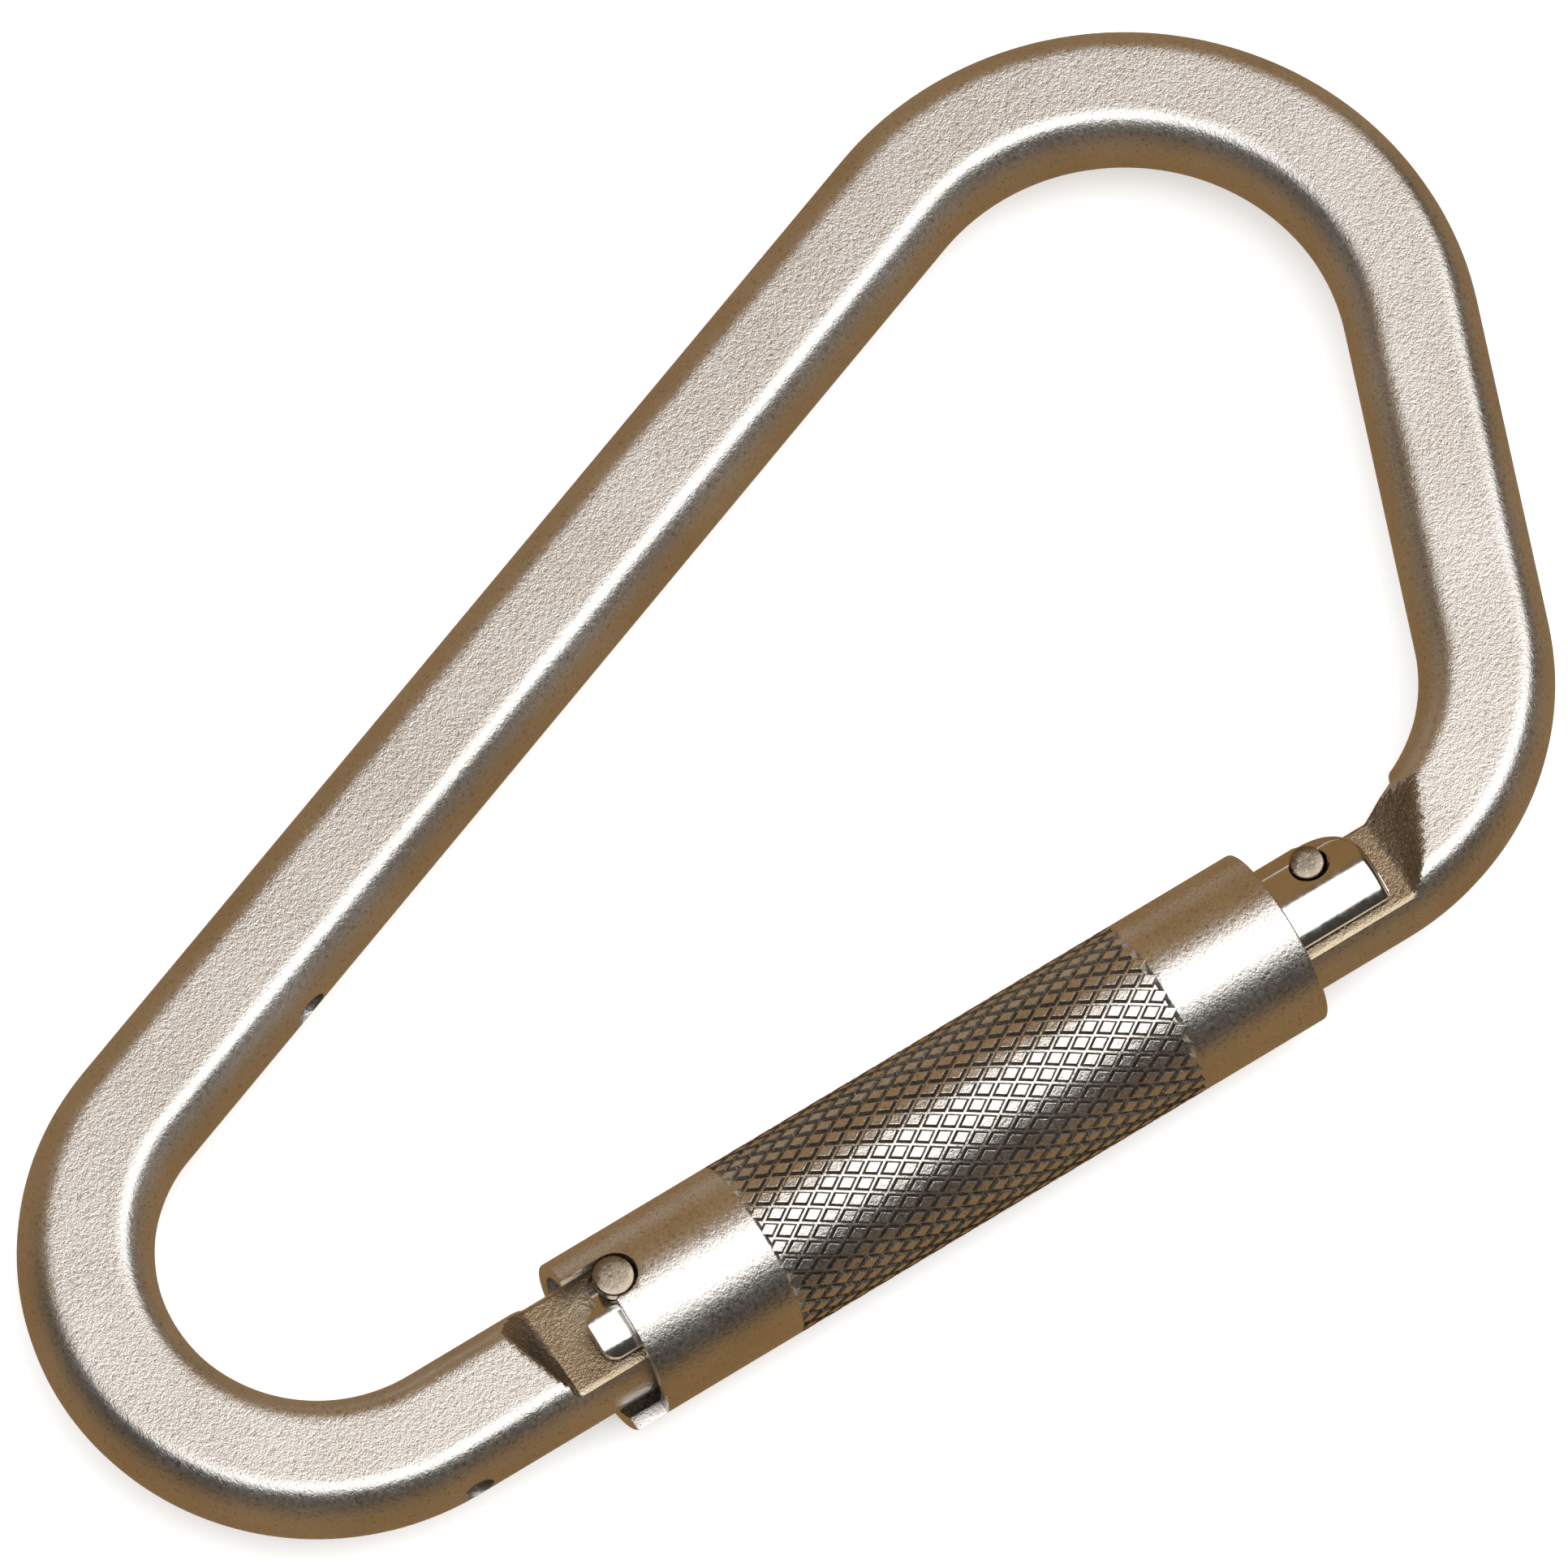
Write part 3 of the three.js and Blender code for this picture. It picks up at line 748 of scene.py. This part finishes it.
def make_hinge_pin():
    head, neck, shank = 2.55, 1.75, 2.2
    profile = [(0, -7.7)] + arc(shank - 0.35, -7.35, 0.35, -90, 0, 4)
    profile += arc(shank - 0.3, 7.2, 0.3, 0, 60, 3) + [(neck, 7.75), (neck, 8.25)]
    profile += arc(head - 0.45, 8.95, 0.45, -80, 0, 5) + arc(head - 0.3, 10.05, 0.3, 0, 75, 5)
    profile += [(head * 0.6, 10.37), (0, 10.4)]
    pin = turned("hinge_pin_turned", profile, 64, upright(HINGE_X, 0), PIN_STEEL)
    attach(pin, "gate")
    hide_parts("hinge_pin")


def make_latch_pin():
    r, head, top = 1.62, 2.12, 7.3
    front = [(r, 5.9), (head - 0.06, 6.75)] + arc(head - 0.3, top - 0.3, 0.3, 0, 80, 4)
    front += [(head * 0.5, top)]
    back = [(x, -z) for x, z in front[::-1]]
    profile = [(0, -top - 0.02)] + back + front + [(0, top + 0.02)]
    pin = turned("latch_pin_turned", profile, 48, upright(LATCH_X, LATCH_S), PIN_STEEL)
    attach(pin, "gate")
    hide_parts("latch_pin")


# ---- Sleeve ----

def make_sleeve():
    chamfer = 0.35
    floor = SLEEVE_R - KNURL_DEPTH
    profile = [(BORE_R + 0.2, LUG), (SLEEVE_R - chamfer, LUG)]
    profile += arc(SLEEVE_R - chamfer, LUG + chamfer, chamfer, -90, 0, 4)[1:]
    profile += [(SLEEVE_R, s) for s in np.arange(-4, KNURL[0] - 0.5, 1.5)]
    first, last = KNURL
    profile += [(SLEEVE_R, first - 0.25), (SLEEVE_R - 0.08, first - 0.05), (floor, first + 0.35)]
    profile += [(floor, s) for s in np.arange(20, last - 1, 4)]
    profile += [(floor, last - 0.35), (SLEEVE_R - 0.08, last + 0.05), (SLEEVE_R, last + 0.25)]
    profile += [(SLEEVE_R, s) for s in np.arange(76, SLEEVE_END - 1, 2)]
    profile += arc(SLEEVE_R - chamfer, SLEEVE_END - chamfer, chamfer, 0, 90, 4)
    profile += [(BORE_R + 0.25, SLEEVE_END), (BORE_R, SLEEVE_END - 0.25)]
    profile += [(BORE_R, SEAT[1]), (SEAT_R, SEAT[1]), (SEAT_R, SEAT[0]), (BORE_R, SEAT[0])]
    profile += [(BORE_R, LUG + 0.2)]
    barrel = new_object("sleeve_barrel", *lathe(profile, 144, along_gate), KNURLED)
    edge = HINGE_X - POCKET_R
    centre = POCKET_END - POCKET_R
    step = box_tool("step", (edge, LUG - 4, STEP_BACK), (20, STEP, 20))
    pocket = box_tool("pocket", (edge + 0.001, LUG - 4, 0), (HINGE_X + POCKET_R, centre, 20))
    pocket_end = post_tool("pocket_end", HINGE_X, centre, POCKET_R, 0, 20, 64)
    cut(barrel, step, pocket, pocket_end)
    bevel(barrel, 0.14, 2, 50)
    smooth(barrel, 30)
    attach(barrel, "sleeve")
    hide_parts("sleeve")
    bosses = make_knurl()
    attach(bosses, "sleeve")


def boss_mesh(across, along):
    """One flat-topped rhombic boss with sloped sides; +Z is out of the sleeve."""
    def ring(scale, z):
        x, y = across / 2 * scale, along / 2 * scale
        return [(x, 0, z), (0, y, z), (-x, 0, z), (0, -y, z)]

    top = KNURL_DEPTH
    levels = [(0.90, -0.25), (0.86, 0.0), (0.64, top - 0.06), (0.60, top - 0.015), (0.54, top)]
    verts = [v for scale, z in levels for v in ring(scale, z)]
    faces = [(3, 2, 1, 0)]
    for i in range(len(levels) - 1):
        for j in range(4):
            k = (j + 1) % 4
            faces.append((i * 4 + j, i * 4 + k, i * 4 + 4 + k, i * 4 + 4 + j))
    last = 4 * (len(levels) - 1)
    faces.append((last, last + 1, last + 2, last + 3))
    obj = new_object("boss", np.array(verts) * MM, faces, KNURLED)
    obj.data.polygons.foreach_set("use_smooth", [False] * len(obj.data.polygons))
    return obj


def knurl_tree(boss):
    """Geometry nodes: a rhombic lattice of points wrapped round the gate line."""
    tree = bpy.data.node_groups.new("knurl", "GeometryNodeTree")
    face = tree.interface
    face.new_socket("Geometry", in_out="OUTPUT", socket_type="NodeSocketGeometry")
    for label, kind in (
        ("Starts", "NodeSocketInt"), ("Rows", "NodeSocketInt"), ("Radius", "NodeSocketFloat"),
        ("Pitch", "NodeSocketFloat"), ("First", "NodeSocketFloat"), ("Boss", "NodeSocketObject"),
        ("Steel", "NodeSocketMaterial"),
    ):
        face.new_socket(label, in_out="INPUT", socket_type=kind)

    def node(kind, settings=None, **links):
        made = tree.nodes.new(kind)
        for key, value in (settings or {}).items():
            setattr(made, key, value)
        for key, value in links.items():
            index = int(key[1:]) if key[0] == "i" and key[1:].isdigit() else key.replace("_", " ")
            if isinstance(value, bpy.types.NodeSocket):
                tree.links.new(value, made.inputs[index])
            else:
                made.inputs[index].default_value = value
        return made

    def calc(operation, a, b=0.0):
        return node("ShaderNodeMath", {"operation": operation}, i0=a, i1=b).outputs[0]

    given = tree.nodes.new("NodeGroupInput").outputs
    total = calc("MULTIPLY", given["Starts"], given["Rows"])
    points = node("GeometryNodeMeshLine", {"mode": "OFFSET"}, Count=total)
    index = node("GeometryNodeInputIndex").outputs[0]
    row = calc("FLOOR", calc("DIVIDE", calc("ADD", index, 0.5), given["Starts"]))
    column = calc("SUBTRACT", index, calc("MULTIPLY", row, given["Starts"]))
    shifted = calc("ADD", column, calc("MULTIPLY", row, 0.5))
    angle = calc("DIVIDE", calc("MULTIPLY", shifted, 2 * math.pi), given["Starts"])
    height = calc("ADD", given["First"], calc("MULTIPLY", row, given["Pitch"]))
    x = calc("MULTIPLY", calc("SINE", angle), given["Radius"])
    z = calc("MULTIPLY", calc("COSINE", angle), given["Radius"])
    spot = node("ShaderNodeCombineXYZ", i0=x, i1=height, i2=z).outputs[0]
    placed = node("GeometryNodeSetPosition", Geometry=points.outputs[0], Position=spot).outputs[0]
    turn = node("ShaderNodeCombineXYZ", i0=0.0, i1=angle, i2=0.0).outputs[0]
    source = node("GeometryNodeObjectInfo", {"transform_space": "ORIGINAL"}, Object=given["Boss"])
    spread = node("GeometryNodeInstanceOnPoints", Points=placed,
                  Instance=source.outputs["Geometry"], Rotation=turn)
    real = node("GeometryNodeRealizeInstances", Geometry=spread.outputs[0])
    done = node("GeometryNodeSetMaterial", Geometry=real.outputs[0], Material=given["Steel"])
    out = tree.nodes.new("NodeGroupOutput")
    tree.links.new(done.outputs[0], out.inputs[0])
    return tree


def make_knurl():
    floor = SLEEVE_R - KNURL_DEPTH
    across = 2 * math.pi * SLEEVE_R / KNURL_STARTS
    along = across / math.tan(math.radians(KNURL_ANGLE))
    pitch = along / 2
    rows = int((KNURL[1] - KNURL[0]) / pitch) + 1
    boss = boss_mesh(across, along)
    obj = bpy.data.objects.new("knurl_bosses", bpy.data.meshes.new("knurl_bosses"))
    bpy.context.scene.collection.objects.link(obj)
    mod = obj.modifiers.new("knurl", "NODES")
    mod.node_group = knurl_tree(boss)
    spare = KNURL[1] - KNURL[0] - (rows - 1) * pitch
    values = {
        "Starts": KNURL_STARTS, "Rows": rows, "Radius": floor * MM, "Pitch": pitch * MM,
        "First": (KNURL[0] + spare / 2) * MM,
        "Boss": boss, "Steel": KNURLED,
    }
    for item in mod.node_group.interface.items_tree:
        if item.in_out == "INPUT":
            mod[item.identifier] = values[item.name]
    bake_modifiers(obj)
    bpy.data.objects.remove(boss, do_unlink=True)
    turn = Matrix((
        (OUT[0], ALONG[0], 0, GATE_O[0] * MM), (OUT[1], ALONG[1], 0, GATE_O[1] * MM),
        (0, 0, 1, 0), (0, 0, 0, 1),
    ))
    obj.data.transform(turn)
    # Painted shade: the bosses' steep sides get the darker material, and the tops keep the plate's
    # tone.
    obj.data.materials.append(KNURL_WALL_SHADE)
    for face in obj.data.polygons:
        x = (np.array(face.center[:2]) / MM - GATE_O) @ OUT * MM
        radial = Vector((OUT[0] * x, OUT[1] * x, face.center[2])).normalized()
        if abs(face.normal.dot(radial)) < 0.75:
            face.material_index = 1
    return obj


# ---- Springs ----

def wire(name, path, radius, sides, material):
    """A round wire through points in gate millimetres, with closed ends."""
    path = np.array(path)
    ways = np.gradient(path, axis=0)
    ways /= np.linalg.norm(ways, axis=1, keepdims=True)
    rings = []
    normal = np.cross(ways[0], (0.31, 0.52, 0.79))
    for point, way in zip(path, ways):
        normal = normal - way * (normal @ way)
        normal /= np.linalg.norm(normal)
        other = np.cross(way, normal)
        ring = [
            point + radius * (normal * math.cos(a) + other * math.sin(a))
            for a in np.linspace(0, 2 * math.pi, sides, endpoint=False)
        ]
        rings.append(ring)
    rings = np.array(rings)
    obj = new_object(name, *tube(from_gate(rings[..., 0], rings[..., 1], rings[..., 2])), material)
    smooth(obj, 50)
    return obj


def make_springs():
    start, end, radius = 9.8, 83.4, 8.875
    turns = 13
    path = []
    for i in range(turns * 28 + 1):
        t = i / (turns * 28)
        # The end coils lie closed against their rings.
        lift = start + (end - start) * (soft_step(t) * 0.25 + t * 0.75)
        a = 2 * math.pi * turns * t
        path.append((radius * math.sin(a), lift, radius * math.cos(a)))
    coil = wire("sleeve_coil", path, 0.5, 12, WIRE)
    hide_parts("sleeve_spring")
    path = []
    r, pitch, turns = 3.0, 1.1, 3
    for i in range(turns * 24 + 1):
        a = math.pi - 2 * math.pi * i / 24
        path.append((HINGE_X + r * math.cos(a), r * math.sin(a), pitch * (turns / 2 - i / 24)))
    leg_x = -GATE_R + 2 + 0.3 + 0.5
    last_z = path[-1][2]
    path += [(leg_x - 0.35, 1.4, last_z), (leg_x, 3.2, last_z)]
    path += [(leg_x, 8, last_z), (leg_x, 13, last_z)]
    twist = wire("gate_torsion_spring", path, 0.5, 12, WIRE)
    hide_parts("gate_spring")
    for part in (coil, twist):
        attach(part, "gate")
    # The point where the coil's stop sits; the coil gets a mesh of its own.
    stop = tuple(from_gate(0, end, 0))
    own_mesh(coil)


def ring_piece(name, node, start, body):
    r0, r1, t = 8.2, 9.4, 1.1
    e = 0.15
    profile = [(r0 + e, start), (r1 - e, start), (r1, start + e), (r1, start + t - e),
               (r1 - e, start + t), (r0 + e, start + t), (r0, start + t - e), (r0, start + e)]
    ring = turned(name, profile, 72, along_gate, WIRE)
    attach(ring, body)
    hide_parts(node)


# ---- Stage ----

# The view: the spine rises at about 53 degrees, seen from 21 degrees below square-on.
ROLL = math.radians(52.64)
TILT = math.radians(21.45)
SIDE = math.radians(0.7)
RIGHT = Vector((math.sin(ROLL), math.cos(ROLL), 0))
UP = Vector((-math.cos(ROLL), math.sin(ROLL), 0))
FRONT = Vector((0, 0, 1))

# The room's tones by height, warm near the floor, and the same warm tone on one wall.
WARM = (0.27, 0.16, 0.062)
ROOM = (
    (0.0, WARM), (0.40, (0.26, 0.155, 0.06)), (0.49, (0.06, 0.045, 0.03)),
    (0.60, (0.035, 0.03, 0.024)), (0.85, (0.05, 0.045, 0.04)), (1.0, (0.10, 0.09, 0.08)),
)
SURROUND = (0.95, 0.95, 0.95, 1)  # what everything but a reflection sees


def make_stage():
    low = float(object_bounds()[0][2])
    half, gap = 3.0, 0.0003
    corners = [(-half, -half, 0), (half, -half, 0), (half, half, 0), (-half, half, 0)]
    floor = new_object("floor", corners, [(0, 1, 2, 3)], pale_floor())
    floor.data.transform(Matrix.Translation((0, 0, low - gap)))
    floor.visible_glossy = False
    world = bpy.data.worlds.new("room")
    bpy.context.scene.world = world
    world.use_nodes = True
    nodes, links = world.node_tree.nodes, world.node_tree.links
    nodes.clear()

    def add(kind, values=None, **settings):
        node = nodes.new(kind)
        for key, value in settings.items():
            setattr(node, key, value)
        for key, value in (values or {}).items():
            if isinstance(value, bpy.types.NodeSocket):
                links.new(value, node.inputs[key])
            else:
                node.inputs[key].default_value = value
        return node

    def mix(factor, a, b):
        return add("ShaderNodeMix", {0: factor, 6: a, 7: b}, data_type="RGBA").outputs[2]

    way = add("ShaderNodeTexCoord").outputs["Generated"]
    height = add("ShaderNodeSeparateXYZ", {0: way}).outputs["Z"]
    height = add("ShaderNodeMath", {0: height, 1: 1.0}).outputs[0]
    height = add("ShaderNodeMath", {0: height, 1: 0.5}, operation="MULTIPLY").outputs[0]
    ramp = add("ShaderNodeValToRGB", {0: height})
    stops = ramp.color_ramp.elements
    for i, (place, colour) in enumerate(ROOM):
        stop = stops[i] if i < 2 else stops.new(place)
        stop.position, stop.color = place, (*colour, 1)
    wall = (UP * 0.9 - RIGHT * 0.35 + FRONT * 0.25).normalized()
    facing = add("ShaderNodeVectorMath", {0: way, 1: tuple(wall)}, operation="DOT_PRODUCT")
    near_wall = add("ShaderNodeMapRange", {0: facing.outputs["Value"], 1: 0.50, 2: 0.72}).outputs[0]
    room = mix(near_wall, ramp.outputs[0], (*WARM, 1))
    glossy = add("ShaderNodeLightPath").outputs["Is Glossy Ray"]
    back = add("ShaderNodeBackground", {0: mix(glossy, SURROUND, room)})
    links.new(back.outputs[0], add("ShaderNodeOutputWorld").inputs[0])


def soft_box(name, place, size, power, along, back):
    """An area light with its back turned the given way and its width lying along another."""
    light = bpy.data.lights.new(name, "AREA")
    light.shape = "RECTANGLE"
    light.size, light.size_y = size
    light.energy = power
    obj = bpy.data.objects.new(name, light)
    bpy.context.scene.collection.objects.link(obj)
    width = (along - back * along.dot(back)).normalized()
    turn = Matrix((width, back.cross(width), back)).transposed().to_4x4()
    obj.matrix_world = Matrix.Translation(place) @ turn
    obj.visible_camera = False
    return obj


def make_camera():
    aim = (Vector((*SHIFT, 0)) + Vector((35.5, 81.0, 0))) * MM
    back = FRONT * math.cos(TILT) - UP * math.sin(TILT) + RIGHT * math.tan(SIDE)
    back.normalize()
    up = UP * math.cos(TILT) + FRONT * math.sin(TILT)
    right = up.cross(back).normalized()
    up = back.cross(right)
    data = bpy.data.cameras.new("camera")
    data.sensor_width = 36
    data.lens = 573
    data.clip_end = 50
    camera = bpy.data.objects.new("camera", data)
    bpy.context.scene.collection.objects.link(camera)
    turn = Matrix((right, up, back)).transposed().to_4x4()
    camera.matrix_world = Matrix.Translation(aim + back * 3.0) @ turn
    bpy.context.scene.camera = camera


make_frame()
make_gate()
make_hinge_pin()
make_latch_pin()
make_sleeve()
make_springs()
ring_piece("stop_ring", "spring_stop", 84.2, "gate")
ring_piece("seat_ring", "spring_washer", 7.9, "sleeve")
make_stage()
make_camera()
# The key light is set back from the low side, so that the sleeve's outer flank stays dark.
key_way = (FRONT * 0.886 + RIGHT * 0.413 - UP * 0.214).normalized()
key_across = RIGHT * 0.614 - UP * 1.068 - FRONT * 0.538
key_place = key_way * 1.1 - key_across.normalized() * 0.305
soft_box("key", key_place, (1.2, 2.2), 15.6, key_across, key_way)
bpy.context.scene.view_settings.view_transform = "Standard"
